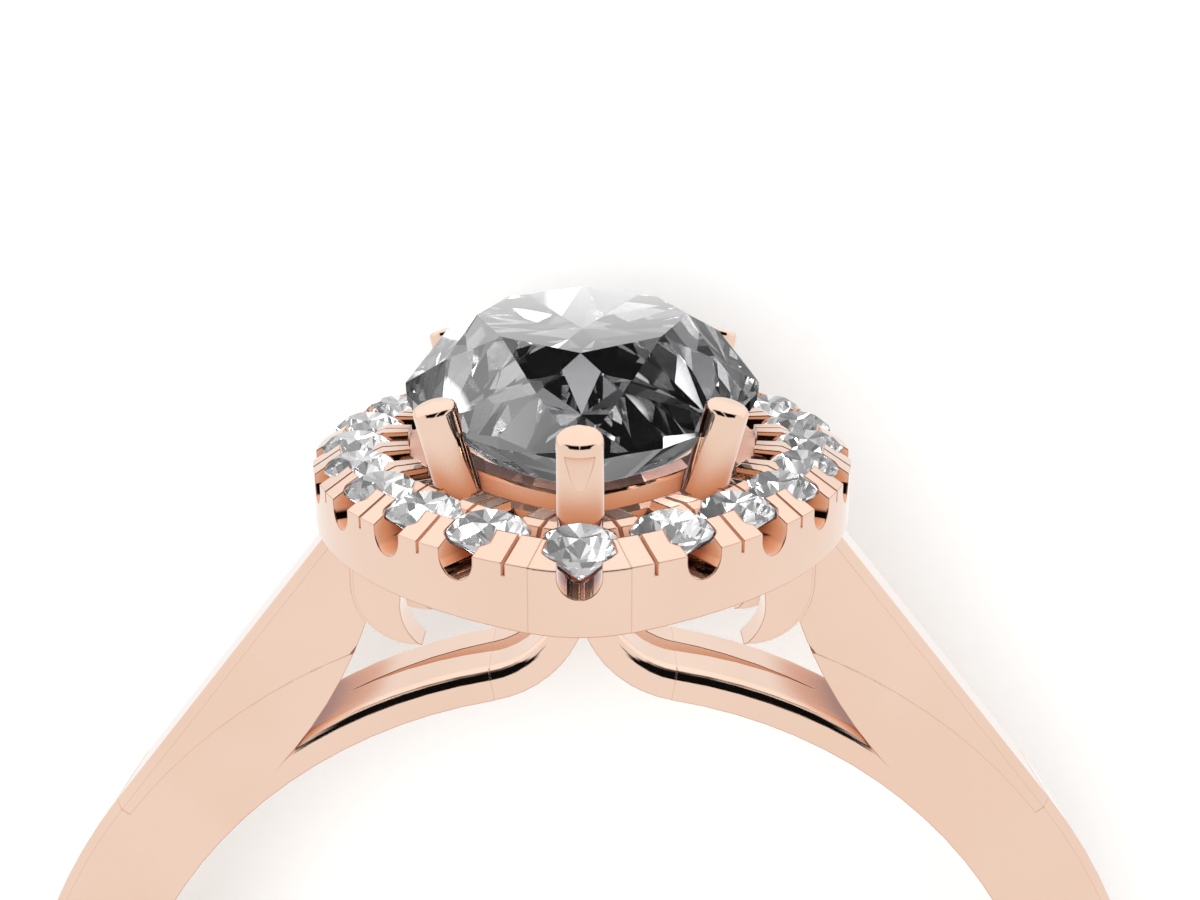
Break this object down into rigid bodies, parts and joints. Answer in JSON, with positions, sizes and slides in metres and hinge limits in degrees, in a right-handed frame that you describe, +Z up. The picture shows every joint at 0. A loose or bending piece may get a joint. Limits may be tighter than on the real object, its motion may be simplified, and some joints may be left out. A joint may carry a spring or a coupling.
{
  "type": "halo ring",
  "caption": "Rose gold halo ring with a pear cut centre stone, a scalloped halo of small round stones, cathedral shoulders and a split gallery, lying on its side.",
  "frame": {"origin": "centre of the ring's box, on the surface that it lies on", "axes": "+Z up from the surface, +Y from the shank's bottom towards the head, the pear's tip side faces up"},
  "size_m": [0.0214, 0.0264, 0.0114],
  "materials": {
    "rose_gold": "polished rose gold",
    "centre_stone": "polished, faceted",
    "halo_stones": "polished, faceted"
  },
  "bodies": {
    "root": {"mounting": "rose_gold", "centre_stone": "centre_stone", "halo_stone_01": "halo_stones", "halo_stone_02": "halo_stones", "halo_stone_03": "halo_stones", "halo_stone_04": "halo_stones", "halo_stone_05": "halo_stones", "halo_stone_06": "halo_stones", "halo_stone_07": "halo_stones", "halo_stone_08": "halo_stones", "halo_stone_09": "halo_stones", "halo_stone_10": "halo_stones", "halo_stone_11": "halo_stones", "halo_stone_12": "halo_stones", "halo_stone_13": "halo_stones", "halo_stone_14": "halo_stones", "halo_stone_15": "halo_stones", "halo_stone_16": "halo_stones", "halo_stone_17": "halo_stones", "halo_stone_18": "halo_stones", "halo_stone_19": "halo_stones", "halo_stone_20": "halo_stones", "halo_stone_21": "halo_stones"}
  },
  "joints": []
}
